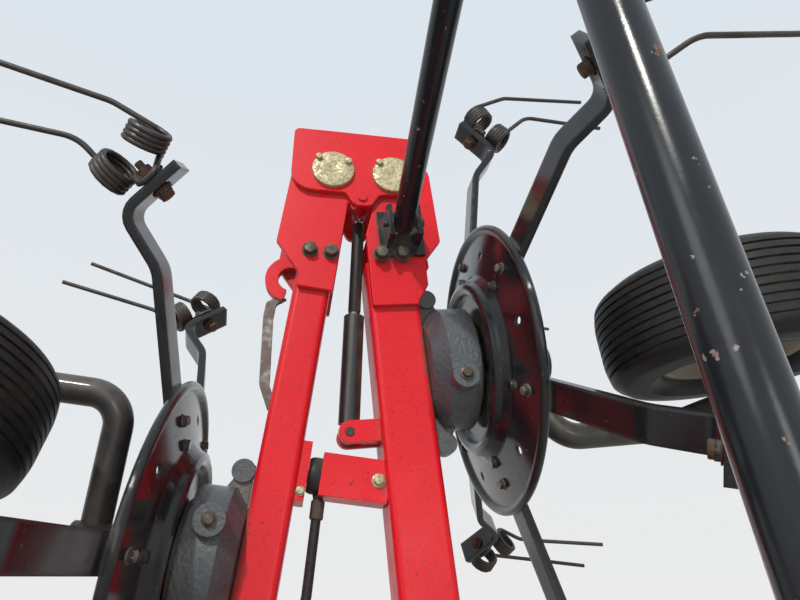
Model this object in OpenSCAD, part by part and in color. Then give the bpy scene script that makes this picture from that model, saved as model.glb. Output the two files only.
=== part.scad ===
// Six-rotor mounted hay tedder, parked with both wings folded up for the road.
// Each wing stands on its hinge, and its outer section hangs folded in beside the inner one
// on a short link with two pins. Origin: on the floor under the middle of the machine's box.
// X is across the machine (its left wing at +X), the tractor is towards -Y, +Z is up.

/* [Layout] */
// Distance between neighbouring rotor axes when the wings are down
rotor_pitch = 1285; // [1240:5:1330]
// Wheel axle below the beam axis
wheel_drop = 520; // [500:5:560]
// Wing hinge from the middle of the machine
hinge_x = 930; // [910:5:945]
// Wing hinge above the beam axis
hinge_rise = 145; // [135:5:170]
// Lean of the inner beam towards the middle when folded, degrees
lean_inner = 5.8; // [4:0.1:7]
// Lean of the outer beam when folded, degrees
lean_outer = 6.6; // [5:0.1:8]
// From the inner rotor's axis out to the first link pin
inner_to_pin = 405; // [390:5:430]

/* [Beams] */
// Centre beam, square section
centre_bar = 120; // [100:5:130]
// Depth of both wing beams, front to back
wing_bar = 100; // [90:5:110]
// Height of the inner wing beam
inner_bar = 100; // [90:5:110]
// Height of the outer wing beam
outer_bar = 70; // [60:5:80]
// Corner radius of the beam tubes
bar_round = 12; // [6:1:16]
// First link pin below the inner beam's axis
pin_sink = 22; // [15:1:28]

/* [Folding link] */
// Distance between the two link pins
pin_spacing = 125; // [115:1:140]
// Radius of the link pins
pin_r = 22; // [18:0.5:26]
// Radius of the zinc cap on each pin
cap_r = 43; // [36:1:46]
// Thickness of the link plates and the end plates
plate_t = 12; // [8:1:14]
// Top edge of the link plates beyond the pin line
link_top = 104; // [80:1:110]
// Radial clearance of a wheel's hub on its axle
wheel_fit = 0.08; // [0.05:0.01:0.1]
// Running clearance between plates that turn on each other
plate_gap = 0.5; // [0.4:0.1:1]
// Radial clearance of a pin in its bore
pin_fit = 0.05; // [0.03:0.01:0.1]

/* [Rotor] */
// Radius of the pressed dish
dish_r = 280; // [270:1:290]
// Dish rim below the underside of the beam
dish_drop = 128; // [124:1:140]
// Sheet thickness of the dish
dish_t = 5; // [4:0.5:8]
// Arms on each rotor
arm_count = 6; // [5:1:7]
// Width of an arm's flat bar
arm_w = 50; // [40:1:60]
// Thickness of an arm's flat bar
arm_t = 15; // [10:1:16]
// Radius of the circle on which the tines are clamped
tine_circle = 605; // [590:1:620]
// Turn of the centre and outer rotors of the left side, degrees
phase_even = 32.5; // [0:0.5:59]
// Turn of the inner rotor of the left side, degrees
phase_odd = 1.5; // [-10:0.5:10]

/* [Tines] */
// Diameter of the tine wire
wire_d = 9.5; // [8:0.5:11]
// Outer diameter of a tine coil
coil_d = 66; // [56:1:70]
// Turns in each coil
coil_turns = 4; // [3:1:4]
// Distance between the tips of a tine's two legs, before their splay
leg_spacing = 72; // [66:1:80]
// Reach of the longer leg below the underside of the beam
tine_reach = 557; // [530:1:570]
// How much shorter the outer leg is
leg_step = 30; // [0:5:40]

/* [Wheels] */
// Tyre radius
tyre_r = 203; // [190:1:215]
// Tyre width
tyre_w = 165; // [150:1:175]
// Radius of the rim's edge
rim_r = 112; // [100:1:116]
// Radius of the wheel axle
axle_r = 12.5; // [10:0.5:15]
// Diameter of the wheel leg's tube
leg_d = 48; // [42:1:50]

/* [Headstock] */
// Lower link pins, half the width across their inner shoulders
lower_half = 412; // [380:1:435]
// Top link bore above the lower pins
mast_h = 610; // [560:5:640]
// Swivel pin in front of the beam
pivot_y = 770; // [750:5:800]
// Lower link pins in front of the swivel pin
link_out = 150; // [130:5:180]

/* [Guard] */
// Diameter of the guard hoop's tube
guard_d = 42; // [34:1:48]
// Front run of the guard hoop in front of the beam axis
guard_y = 825; // [800:5:850]

/* [Hidden] */
$fn = 48;

beam_z = wheel_drop + tyre_r;
hinge_z = beam_z + hinge_rise;
centre_rotor_x = rotor_pitch / 2;
inner_rotor_s = 1.5 * rotor_pitch - hinge_x;
pin_s = inner_rotor_s + inner_to_pin;
outer_rotor_s = rotor_pitch - inner_to_pin - pin_spacing;
fold_inner = 90 + lean_inner;
fold_link = (180 - lean_inner - lean_outer) / 2;
// The right side's rotors stand half an arm's step on, so that neighbouring tines mesh
half_step = 180 / arm_count;
near = 0.3;

// Colours
red = [0.78, 0.05, 0.07];
anthracite = [0.17, 0.19, 0.20];
steel = [0.45, 0.46, 0.46];
zinc = [0.80, 0.72, 0.42];
black = [0.05, 0.05, 0.06];
rust = [0.36, 0.22, 0.15];
beige = [0.62, 0.56, 0.46];

// Frames. side is 1 for the machine's left half and -1 for its right half.
module on_side(side) {
    translate([0, -box_mid_y, 0])
    if (side > 0) children();
    else mirror([1, 0, 0]) children();
}
// Beam frame of the inner section: X out along the beam axis, from under the hinge
module on_inner(side) {
    on_side(side) translate([hinge_x, 0, hinge_z]) rotate([0, -fold_inner, 0])
        translate([0, 0, -hinge_rise]) children();
}
// Link frame: X from the first pin to the second
module on_link(side) {
    on_inner(side) translate([pin_s, 0, -pin_sink]) rotate([0, -fold_link, 0]) children();
}
// Beam frame of the outer section: X out along the beam axis, from the second pin
module on_outer(side) {
    on_link(side) translate([pin_spacing, 0, 0]) rotate([0, -fold_link, 0]) children();
}
// Station frames: the beam axis above the rotor, with the rotor below it
module at_centre(side) {
    on_side(side) translate([centre_rotor_x, 0, beam_z]) children();
}
module at_inner(side) {
    on_inner(side) translate([inner_rotor_s, 0, 0]) children();
}
module at_outer(side) {
    on_outer(side) translate([outer_rotor_s, 0, 0]) children();
}

// Small forms
module rounded_square(w, h, r) {
    square([w - 2 * r, h], center = true);
    square([w, h - 2 * r], center = true);
    for (x = [-1, 1], y = [-1, 1])
        translate([x * (w / 2 - r), y * (h / 2 - r)]) circle(r);
}
// A bar along +X from x0 to x1, w deep in Y and h high in Z
module bar(x0, x1, w, h, r) {
    translate([x0, 0, 0]) rotate([90, 0, 90]) linear_extrude(x1 - x0) rounded_square(w, h, r);
}
// A rod of radius r from point a to point b
module rod(a, b, r) {
    d = b - a;
    l = norm(d);
    translate(a) rotate([0, acos(d[2] / l), atan2(d[1], d[0])]) cylinder(h = l, r = r);
}
// A disc or short shaft along Y, from y0 to y1
module yrod(x, z, r, y0, y1) {
    translate([x, y1, z]) rotate([90, 0, 0]) cylinder(h = y1 - y0, r = r);
}
// An outline in the XZ plane made a plate from y0 to y1
module yplate(y0, y1) {
    translate([0, y1, 0]) rotate([90, 0, 0]) linear_extrude(y1 - y0) children();
}
function unit(v) = v / norm(v);
// A round tube of diameter d through the points p, with bends of radius r between its straights.
// A bend is slimmer by bend_step and runs on into its straights, so that each joint closes.
bend_step = 0.15;
module bent_tube(p, d, r) {
    n = len(p);
    // Each bend takes r * tan(angle / 2) from the straights beside it
    trim = [for (i = [0 : n - 1]) (i == 0 || i == n - 1) ? 0 :
        r * tan(acos(unit(p[i] - p[i - 1]) * unit(p[i + 1] - p[i])) / 2)];
    for (i = [0 : n - 2]) {
        u = unit(p[i + 1] - p[i]);
        rod(p[i] + u * trim[i], p[i + 1] - u * trim[i + 1], d / 2);
    }
    // Overrun of a bend into its straight, short enough to stay inside it
    over = acos(1 - bend_step / 2 / r);
    for (i = [1 : n - 2]) {
        u = unit(p[i] - p[i - 1]);
        w = unit(p[i + 1] - p[i]);
        z = unit(cross(u, w));
        x = cross(u, z);
        o = p[i] - u * trim[i] - x * r;
        multmatrix([[x[0], u[0], z[0], o[0]], [x[1], u[1], z[1], o[1]], [x[2], u[2], z[2], o[2]]])
            rotate([0, 0, -over]) rotate_extrude(angle = acos(u * w) + 2 * over)
                translate([r, 0]) circle(d / 2 - bend_step);
    }
}

// Gear housing under a beam: neck, round case and bearing collar, with its oil plug and rib,
// and the post that carries the wheel leg down through the rotor
case_r = 118;
case_end = 81;
collar_end = case_end + 12;
collar_r = 92;
post_r = 27;
knuckle_top = 236;
module gear_case(bar_h) {
    color(anthracite) translate([0, 0, -bar_h / 2]) {
        translate([0, 0, -case_end]) cylinder(h = case_end - near - 26, r = case_r);
        translate([0, 0, -near - 26]) cylinder(h = 26, r1 = case_r, r2 = 84);
        translate([0, 0, -collar_end]) cylinder(h = 12, r = collar_r);
        // Plug pad on the front
        translate([-52, -case_r + 14, -case_end / 2 - 4]) rotate([90, 0, 0]) cylinder(h = 26, r = 24);
        // Ribs with their eyes, towards both ends
        for (s = [-1, 1]) scale([s, 1, 1]) {
            translate([0, 8, 0]) rotate([90, 0, 0]) linear_extrude(16)
                polygon([[60, -case_end + 4], [158, -22], [158, -4], [60, -4]]);
            translate([146, 14, -22 - near]) rotate([90, 0, 0]) cylinder(h = 28, r = 20);
        }
    }
    color(steel) translate([0, 0, -knuckle_top + near])
        cylinder(h = knuckle_top - near - bar_h / 2 - collar_end + 4, r = post_r);
}

// Pressed dish: rolled rim, a cone that rises inwards over the arms, a round bead and a flat web
rim_lip = 8;
cone = 12.4;
bead_r = 156;
bead_out = 14;
bead_top = 83;
web_z = 98;
hub_r = 58;
hub_end = 150;
// Underside of the cone, on which the arms seat
function seat(r) = -dish_drop - 3 - tan(cone) * (r - dish_r + 22);
module dish_profile() {
    t = dish_t;
    c = [bead_r, -bead_top - bead_out];
    rim_in = dish_r - rim_lip - 4;
    cone_in = bead_r + bead_out + 6;
    polygon(concat(
        [[post_r + near, -hub_end], [hub_r, -hub_end], [hub_r + 12, -web_z - t], [bead_r - bead_out + 1, -web_z - t]],
        [for (a = [180 : -45 : 0]) c + (bead_out - t) * [cos(a), sin(a)]],
        [[cone_in, seat(cone_in)], [rim_in, seat(rim_in)], [rim_in, seat(rim_in) + t],
            [cone_in + 6, seat(cone_in + 6) + t]],
        [for (a = [0 : 45 : 180]) c + bead_out * [cos(a), sin(a)]],
        [[bead_r - bead_out - 5, -web_z], [hub_r, -web_z], [hub_r, -collar_end - near],
            [post_r + near, -collar_end - near]]));
    translate([dish_r - rim_lip, -dish_drop]) circle(rim_lip, $fn = 24);
}

// A centre line through the points p with a bend of radius r[i] at point i, as [point, direction]
function heading(v) = atan2(v[1], v[0]);
function side_of(a) = [-sin(a), cos(a)];
function rounded(p, r) = [for (i = [0 : len(p) - 1])
    let (a = heading(i == 0 ? p[1] - p[0] : p[i] - p[i - 1]),
        b = heading(i == len(p) - 1 ? p[i] - p[i - 1] : p[i + 1] - p[i]),
        s = sign(b - a),
        c = p[i] - [cos(a), sin(a)] * r[i] * tan(abs(b - a) / 2) + s * r[i] * side_of(a))
    each (a == b ? [[p[i], a]] : [for (k = [0 : 5])
        let (g = a + (b - a) * k / 5) [c - s * r[i] * side_of(g), g]])];

// Arm: a flat bar under the dish, cranked down to its heel and back up to the tine clamp
arm_in = 150;
arm_rise = 39.2;
crank_drop = 59;
lug_reach = 108;
arm_bolts = [188, 226];
clamp_x = 62;
function arm_z(r) = seat(r) + 0.6 - arm_t / 2 / cos(cone);
elbow = [tine_circle - 148, arm_z(tine_circle - 148)];
heel = [tine_circle - 74, elbow[1] - crank_drop];
module arm() {
    line = rounded([[arm_in, arm_z(arm_in)], elbow, heel,
        heel + lug_reach * [cos(arm_rise), sin(arm_rise)]], [0, 60, 30, 0]);
    n = len(line);
    translate([0, arm_w / 2, 0]) rotate([90, 0, 0]) linear_extrude(arm_w)
        polygon(concat([for (q = line) q[0] + arm_t / 2 * side_of(q[1])],
            [for (i = [n - 1 : -1 : 0]) line[i][0] - arm_t / 2 * side_of(line[i][1])]));
    // Head of the clamp bolt
    at_lug() translate([clamp_x, 0, 0]) cylinder(h = arm_t / 2 + 9, r = 13, $fn = 6);
}
// Frame of the arm's end: X out along it, Z up, from the heel on its centre line
module at_lug() {
    translate([heel[0], 0, heel[1]]) rotate([0, -arm_rise, 0]) children();
}
// A point of the rotor frame in the frame of the arm's end
function to_lug(p) = let (d = p - [heel[0], 0, heel[1]])
    [d[0] * cos(arm_rise) + d[2] * sin(arm_rise), d[1], -d[0] * sin(arm_rise) + d[2] * cos(arm_rise)];
module rotor_dish(bar_h, phase) {
    translate([0, 0, -bar_h / 2]) color(anthracite) difference() {
        rotate_extrude() dish_profile();
        for (i = [0 : arm_count - 1]) rotate([0, 0, phase + 360 / arm_count * (i + 0.5)])
            translate([dish_r - 60, 0, seat(dish_r - 60) - 10]) cylinder(h = 30, r = 8);
    }
    translate([0, 0, -bar_h / 2]) color(anthracite)
        for (i = [0 : arm_count - 1]) rotate([0, 0, phase + 360 / arm_count * i]) {
            arm();
            for (x = arm_bolts) translate([x, 0, seat(x) - arm_t - 8]) cylinder(h = arm_t + dish_t + 16, r = 9);
        }
}

// Tine: two splayed coils on the ground side of the arm's end, joined by a loop under the washer
// of the clamp bolt, and a leg down from the outer end of each
coil_r = (coil_d - wire_d) / 2;
coil_len = coil_turns * (wire_d + 0.8);
coil_yaw = 7.5;
// Columns: coil's middle along the arm's end, below its centre line, drop of its axis in degrees
COIL = [
    [27, -57, 0],
    [97, -62, 18.4]];
lean_tip = 62;
tip_turn = 36;
leg_run = 80;
module at_coil(k) {
    translate([COIL[k][0], 0, COIL[k][1]]) rotate([0, 0, coil_yaw]) rotate([0, COIL[k][2], 0]) children();
}
// A point of coil k's frame in the frame of the arm's end
function from_coil(k, p) = let (d = COIL[k][2], x = p[0] * cos(d) + p[2] * sin(d), z = -p[0] * sin(d) + p[2] * cos(d))
    [COIL[k][0] + x * cos(coil_yaw) - p[1] * sin(coil_yaw), x * sin(coil_yaw) + p[1] * cos(coil_yaw), COIL[k][1] + z];
module coil() {
    n = coil_turns;
    pitch = coil_len / n;
    translate([-coil_len / 2, 0, 0]) rotate([0, 90, 0]) rotate_extrude()
        polygon(concat(
            [[coil_r - wire_d / 2, 0]], [[coil_r - wire_d / 2, coil_len]],
            [for (i = [n - 1 : -1 : 0], a = [80, 30, -30, -80])
                [coil_r + wire_d / 2 * cos(a), pitch * (i + 0.5) + pitch / 2 * sin(a)]]));
}
// Tip of leg k in the rotor frame: 0 is the inner, longer leg and 1 the outer one
function tine_tip(k) = [
    tine_circle + (k == 0 ? -1 : 1) * (leg_spacing - wire_d) / 2 + lean_tip + 26 * k,
    tip_turn - coil_r, -tine_reach + leg_step * k];
module tine_pair() {
    wire_z = -arm_t / 2 - near - wire_d / 2;
    end = coil_len / 2 - wire_d / 2;
    at_lug() {
        for (k = [0, 1]) {
            s = k == 0 ? -1 : 1;
            at_coil(k) coil();
            bent_tube([from_coil(k, [s * end, -coil_r, 4]), from_coil(k, [s * end, -coil_r, -leg_run]), to_lug(tine_tip(k))],
                wire_d, 60);
        }
        // Loop from coil to coil, with the washer, nut and end of the bolt
        bent_tube([from_coil(0, [end, 2, coil_r]), [clamp_x - 18, -24, wire_z], [clamp_x + 18, -24, wire_z],
            from_coil(1, [-end, 2, coil_r])], wire_d, 8);
        translate([clamp_x, 0, wire_z - wire_d / 2 - 4]) cylinder(h = 6, r = 24);
        translate([clamp_x, 0, wire_z - wire_d / 2 - 16]) cylinder(h = 14, r = 13, $fn = 6);
        translate([clamp_x, 0, wire_z - wire_d / 2 - 22]) cylinder(h = 22 + wire_d - 0.2, r = 8);
    }
}
module rotor_tines(bar_h, phase) {
    translate([0, 0, -bar_h / 2]) color(steel)
        for (i = [0 : arm_count - 1]) rotate([0, 0, phase + 360 / arm_count * i]) tine_pair();
}

// Where the middle of the machine's box lies, between the top link bracket and the rearmost
// tine's tip, so that the origin is under it
top_link_out = 95;
tip_y = max([for (f = [phase_even, phase_even + half_step, phase_odd, phase_odd + half_step],
    i = [0 : arm_count - 1]) let (a = f + 360 / arm_count * i, t = tine_tip(1))
        t[0] * sin(a) + t[1] * cos(a)]) + wire_d / 2;
box_mid_y = (tip_y - pivot_y - link_out - top_link_out) / 2;

// Wheel leg: a tube clamped on the post, out beside the tyre, down, and forward to the axle
// Columns: tube to the side, tube ahead of the rotor axis, wheel to the side, wheel ahead, swivel
LEG = [
    [158, 42, 31, 246, 0],
    [158, 42, 31, 246, 0],
    [206, 120, 79, 250, -16.7]];
tube_z = knuckle_top + 34;
hub_half = 44;
axle_near = 0.3;
module wheel_leg(k) {
    g = LEG[k];
    rotate([0, 0, g[4]]) {
        color(anthracite) bent_tube([
            [-30, -6, -tube_z], [-g[0], -g[1], -tube_z],
            [-g[0], -g[1], -wheel_drop + 30], [-g[0], -g[3] + 4, -wheel_drop]], leg_d, 52);
        color(rust) translate([0, 0, -tube_z - 30]) cylinder(h = 64, r = 38);
        color(anthracite) translate([-g[0] - 26, -g[3], -wheel_drop]) rotate([0, 90, 0])
            cylinder(h = 52, r = 30);
        // Axle with its shoulder and its end nut
        color(steel) rod([-g[0], -g[3], -wheel_drop], [-g[2] + hub_half + 24, -g[3], -wheel_drop], axle_r);
        color(steel) rod([-g[0], -g[3], -wheel_drop], [-g[2] - hub_half - axle_near, -g[3], -wheel_drop], 22);
        color(steel) rod([-g[2] + hub_half + axle_near, -g[3], -wheel_drop],
            [-g[2] + hub_half + 16, -g[3], -wheel_drop], 22);
    }
}
// Children are drawn at the wheel's centre, with the axle along X
module at_wheel(k) {
    g = LEG[k];
    rotate([0, 0, g[4]]) translate([-g[2], -g[3], -wheel_drop]) children();
}
// Rib tyre with four grooves round the tread
groove_w = 7;
groove_d = 7;
bead_w = 118;
module tyre() {
    color(black) rotate([0, 90, 0]) rotate_extrude($fn = 64) difference() {
        polygon([
            [rim_r, -bead_w / 2], [rim_r + 14, -tyre_w / 2 + 6], [rim_r + 40, -tyre_w / 2],
            [tyre_r - 24, -tyre_w / 2 + 2], [tyre_r - 6, -tyre_w / 2 + 18], [tyre_r, -30],
            [tyre_r, 30], [tyre_r - 6, tyre_w / 2 - 18], [tyre_r - 24, tyre_w / 2 - 2],
            [rim_r + 40, tyre_w / 2], [rim_r + 14, tyre_w / 2 - 6], [rim_r, bead_w / 2]]);
        for (y = [-45, -15, 15, 45]) translate([tyre_r, y]) square([2 * groove_d, groove_w], center = true);
    }
}
module rim() {
    color(beige) rotate([0, 90, 0]) rotate_extrude($fn = 64)
        polygon([
            [axle_r + wheel_fit, -hub_half], [34, -hub_half], [34, -12], [rim_r - 26, -6], [rim_r - 22, -36],
            [rim_r - 10, -bead_w / 2 + 4], [rim_r - 6, -bead_w / 2], [rim_r - near, -bead_w / 2],
            [rim_r - near, bead_w / 2], [rim_r - 6, bead_w / 2], [rim_r - 10, bead_w / 2 - 4],
            [rim_r - 22, 36], [rim_r - 26, 4], [34, -2], [34, hub_half], [axle_r + wheel_fit, hub_half]]);
}

// Centre beam with the cheeks that carry the wing hinges and the lugs of the fold cylinders
cheek_in = centre_bar / 2;
hinge_pin_r = 25;
wing_lug_r = 48;
beam_end = hinge_x - 20;
cyl_y = 128;
cyl_x = 215;
cyl_z = 20;
cyl_pin_r = 12;
rod_fit = 0.1;
eye_half = 22;
link_eye_half = 15;
module centre_beam() {
    color(red) on_side(1) translate([0, 0, beam_z]) {
        difference() {
            union() {
                bar(-beam_end, beam_end, centre_bar, centre_bar, bar_round);
                for (s = [-1, 1], y = [-1, 1]) scale([s, 1, 1])
                    yplate(y > 0 ? cheek_in : -cheek_in - plate_t, y > 0 ? cheek_in + plate_t : -cheek_in) {
                        polygon([[hinge_x - 260, -50], [hinge_x - 40, -50], [hinge_x + 44, hinge_rise - 18],
                            [hinge_x - 44, hinge_rise + 18], [hinge_x - 90, 62], [hinge_x - 260, 50]]);
                        translate([hinge_x, hinge_rise]) circle(wing_lug_r);
                    }
            }
            for (s = [-1, 1]) yrod(s * hinge_x, hinge_rise, hinge_pin_r + pin_fit, -200, 200);
        }
        // Fold cylinder lugs behind the beam
        for (s = [-1, 1]) difference() {
            for (y = [cyl_y - 40, cyl_y + 30]) translate([s * cyl_x, y + 10, cyl_z]) {
                rotate([90, 0, 0]) cylinder(h = 10, r = 28);
                translate([-28, -10 - (y + 10 - cheek_in) * 0, -28]) cube([56, 10, 28]);
            }
            yrod(s * cyl_x, cyl_z, cyl_pin_r + pin_fit, 0, 300);
        }
        for (s = [-1, 1]) translate([s * cyl_x - 28, cheek_in - 1, cyl_z - 40]) cube([56, cyl_y + 40 - cheek_in + 1, 14]);
        // Stand socket at the back
        translate([-40, cheek_in - 1, -40]) cube([80, stand_y - cheek_in - 24, 60]);
        translate([0, stand_y, -90]) difference() {
            cylinder(h = 160, r = 34);
            translate([0, 0, -1]) cylinder(h = 162, r = stand_r + 0.4);
        }
    }
}

// Drawbar: two tubes from the beam to the swivel bearing of the headstock
draw_bar = 60;
draw_z = centre_bar / 2 + draw_bar / 2;
pivot_r = 32;
pivot_half = 42;
module drawbar() {
    color(red) on_side(1) translate([0, 0, beam_z + draw_z]) {
        for (s = [-1, 1]) {
            a = [s * 250, 20, 0];
            b = [s * 48, -pivot_y + 34, 0];
            d = b - a;
            translate(a) rotate([0, 0, atan2(d[1], d[0])]) bar(0, norm(d), draw_bar, draw_bar, 8);
        }
        difference() {
            translate([0, -pivot_y, -pivot_half]) cylinder(h = 2 * pivot_half, r = 72);
            translate([0, -pivot_y, -pivot_half - 1]) cylinder(h = 2 * pivot_half + 2, r = pivot_r + pin_fit);
        }
    }
}

// Central gearbox with its input shaft towards the tractor
module gearbox() {
    color(anthracite) on_side(1) translate([0, 0, beam_z]) {
        translate([-95, -cheek_in - near - 150, -85]) cube([190, 150, 130]);
        translate([0, -cheek_in - near - 150, -20]) rotate([90, 0, 0]) cylinder(h = 40, r = 60);
    }
    color(steel) on_side(1) translate([0, -cheek_in - near - 180, beam_z - 20]) rotate([90, 0, 0])
        cylinder(h = 100, r = 17.5);
}

// Headstock: swivel pin between two plates, a mast for the top link and the two lower link pins
low_z = beam_z - 160;
mast_in = 60;
mast_out = 330;
fork_t = 16;
module headstock() {
    y1 = -pivot_y - link_out;
    color(red) on_side(1) {
        // Fork plates above and below the drawbar's bearing, with the pin
        for (z = [-pivot_half - near - fork_t, pivot_half + near])
            translate([-80, y1 - 10, beam_z + draw_z + z]) cube([160, link_out + 10 + 66, fork_t]);
        translate([0, -pivot_y, beam_z + draw_z - pivot_half - fork_t - 14])
            cylinder(h = 2 * (pivot_half + fork_t + 14), r = pivot_r);
        // Mast legs from the top link down to the cross tube
        for (s = [-1, 1]) {
            a = [s * mast_in, y1, low_z + mast_h];
            b = [s * mast_out, y1, low_z + 20];
            d = b - a;
            translate(a) rotate([0, atan2(-d[2], d[0]), 0]) bar(-30, norm(d) + 20, 60, 60, 8);
        }
        translate([0, y1, low_z + 20]) bar(-lower_half + 60, lower_half - 60, 70, 70, 8);
        // Cross piece at the fork, from leg to leg
        half = mast_in + (mast_out - mast_in) * (mast_h - (beam_z + draw_z - low_z)) / (mast_h - 20);
        translate([0, y1, beam_z + draw_z]) bar(-half, half, 50, 2 * (pivot_half + fork_t), 8);
        // Lower link plates and pins
        for (s = [-1, 1]) {
            for (x = [lower_half - 70, lower_half - 12]) translate([s * x - 6, y1 - 60, low_z - 60])
                cube([12, 100, 130]);
            translate([s * (lower_half - 70), y1 - 30, low_z - 28]) rotate([0, s * 90, 0])
                cylinder(h = 70 + 70, r = 14);
            // Stand sockets
            translate([s * 300, y1 + 70, low_z - 40]) difference() {
                cylinder(h = 120, r = 34);
                translate([0, 0, -1]) cylinder(h = 122, r = stand_r + 0.4);
            }
            translate([s * 300 - 20, y1 + 20, low_z]) cube([40, 22, 50]);
        }
        // Top link bracket
        difference() {
            for (x = [-1, 1]) translate([x * 36 - 7, y1 - top_link_out, low_z + mast_h - 50]) cube([14, top_link_out + 15, 100]);
            translate([-60, y1 - 60, low_z + mast_h]) rotate([0, 90, 0]) cylinder(h = 120, r = 13);
        }
        translate([-80, y1 - 20, low_z + mast_h - 45]) cube([160, 30, 80]);
    }
}
// Parking stands: a tube through its socket, with a round foot on the floor
stand_r = 24;
stand_y = 432;
module stand(h) {
    color(steel) cylinder(h = 8, r = 60);
    color(steel) translate([0, 0, 8]) cylinder(h = h - 8, r = stand_r);
}
module stand_front(side) {
    on_side(1) translate([side * 300, -pivot_y - link_out + 70, 0]) stand(low_z + 140);
}
module stand_rear() {
    on_side(1) translate([0, stand_y, 0]) stand(beam_z + 110);
}

// Inner beam: hinge plates at its foot, end plates at the link and the crank of the fold cylinder
foot = 46;
tube_end = pin_s - 190;
crank = [100, 170];
buffer_x = 600;
stop_t = 16;
module inner_beam(side) {
    y0 = wing_bar / 2;
    color(red) on_inner(side) difference() {
        union() {
            bar(foot, tube_end, wing_bar, inner_bar, bar_round);
            for (y = [-y0 + 1, y0 - plate_t + 1]) yplate(y - 1, y + plate_t - 1) {
                // Hinge plate
                polygon([[foot - 6, -44], [foot + 240, -44], [foot + 240, 48], [60, hinge_rise + 30], [-30, hinge_rise + 34],
                    [-44, hinge_rise - 20], [foot - 30, 40]]);
                translate([0, hinge_rise]) circle(wing_lug_r);
            }
            for (y = [-y0 - plate_t, y0]) yplate(y, y + plate_t) {
                // End plate at the link
                polygon([[pin_s - 290, -40], [pin_s - 250, -50 - 18], [pin_s + 10, -pin_sink - 52], [pin_s + 46, -pin_sink - 26],
                    [pin_s + 46, -pin_sink + 26], [pin_s - 60, 18], [pin_s - 130, inner_bar / 2 - 6], [pin_s - 290, inner_bar / 2 - 8]]);
                translate([pin_s, -pin_sink]) circle(52);
            }
            yrod(0, hinge_rise, hinge_pin_r + 20, -y0 + 8, y0 - 8);
        }
        yrod(pin_s, -pin_sink, pin_r + pin_fit, -200, 200);
    }
    color(steel) on_inner(side) yrod(0, hinge_rise, hinge_pin_r, -cheek_in - plate_t - 8, cheek_in + plate_t + 8);
    // Crank plates for the fold cylinder, behind the beam
    color(red) on_inner(side) for (y = [cyl_y - 38, cyl_y + 28]) yplate(y, y + 10) {
        polygon([[0, hinge_rise - 40], [170, 10], [230, 40], [crank[0] + 26, hinge_rise + crank[1] + 10],
            [crank[0] - 26, hinge_rise + crank[1] + 10], [0, hinge_rise + 40]]);
        translate([crank[0], hinge_rise + crank[1]]) circle(28);
    }
    color(steel) on_inner(side) for (y = [-1, 1])
        yrod(crank[0], hinge_rise + crank[1], cyl_pin_r, cyl_y + (y > 0 ? eye_half + near : -44),
            cyl_y + (y > 0 ? 44 : -eye_half - near));
    color(red) on_inner(side) translate([120, y0 - 2, 5]) cube([80, cyl_y + 38 - y0 + 2, 24]);
    // Lugs of the link cylinder
    color(red) on_inner(side) for (y = [-30, 20]) yplate(y, y + 10) difference() {
        union() {
            translate(link_foot) circle(20);
            translate([link_foot[0] - 20, inner_bar / 2 - 1]) square([40, link_foot[1] + 1 - inner_bar / 2]);
        }
        translate(link_foot) circle(8 + pin_fit);
    }
    // Buffer between the folded beams: its bracket and its rubber, square to the stop that it meets
    from = outer_bar / 2 + stop_t + near + 22;
    upto = pin_spacing - pin_sink - inner_bar / 2 + buffer_x * sin(lean_inner + lean_outer) + 9;
    color(red) on_outer(side) translate([buffer_x - 36, -35, from]) cube([72, 70, upto - from]);
    color(black) on_outer(side) translate([buffer_x, 0, outer_bar / 2 + stop_t + near]) cylinder(h = 26, r = 28);
}

// Link: two plates with the pins, their caps, and the cross pin of the link cylinder
link_face = wing_bar / 2 + 2 * plate_t + plate_gap;
link_eye = [pin_spacing / 2, 60];
module link(side) {
    color(red) on_link(side) for (y = [-link_face, link_face - plate_t]) yplate(y, y + plate_t) difference() {
        union() {
            polygon([[-48, -link_top + 14], [-34, -link_top], [pin_spacing + 40, -link_top], [pin_spacing + 54, -link_top + 14],
                [pin_spacing + 54, 30], [pin_spacing + 20, 46], [link_eye[0] + 26, 50], [link_eye[0] + 12, 76],
                [link_eye[0] - 12, 76], [link_eye[0] - 26, 50], [-20, 46], [-48, 30]]);
        }
    }
    color(red) on_link(side) for (x = [0, pin_spacing]) yrod(x, 0, pin_r, -link_face, link_face);
    color(zinc) on_link(side) for (x = [0, pin_spacing], y = [-1, 1])
        yrod(x, 0, cap_r, y > 0 ? link_face : -link_face - 8, y > 0 ? link_face + 8 : -link_face);
    // Stub pins that hold the eye of the link cylinder's rod between them
    color(red) on_link(side) for (y = [-1, 1])
        yrod(link_eye[0], link_eye[1], 10, y > 0 ? link_eye_half + near : -link_face - 4,
            y > 0 ? link_face + 4 : -link_eye_half - near);
}

// Outer beam with its end plates at the second pin and the stop that meets the buffer
module outer_beam(side) {
    y0 = wing_bar / 2;
    color(red) on_outer(side) difference() {
        union() {
            bar(110, outer_rotor_s + 70, wing_bar, outer_bar, bar_round);
            for (y = [-y0 - plate_t, y0]) yplate(y, y + plate_t) {
                polygon([[-30, -36], [50, -46], [150, -44], [230, -34], [245, 0], [230, 34], [150, 40], [50, 40], [-30, 34]]);
                circle(48);
            }
        }
        yrod(0, 0, pin_r + pin_fit, -200, 200);
    }
    color(red) on_outer(side) translate([buffer_x - 50, -40, outer_bar / 2 - 1]) cube([100, 80, stop_t + 1]);
}

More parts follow.
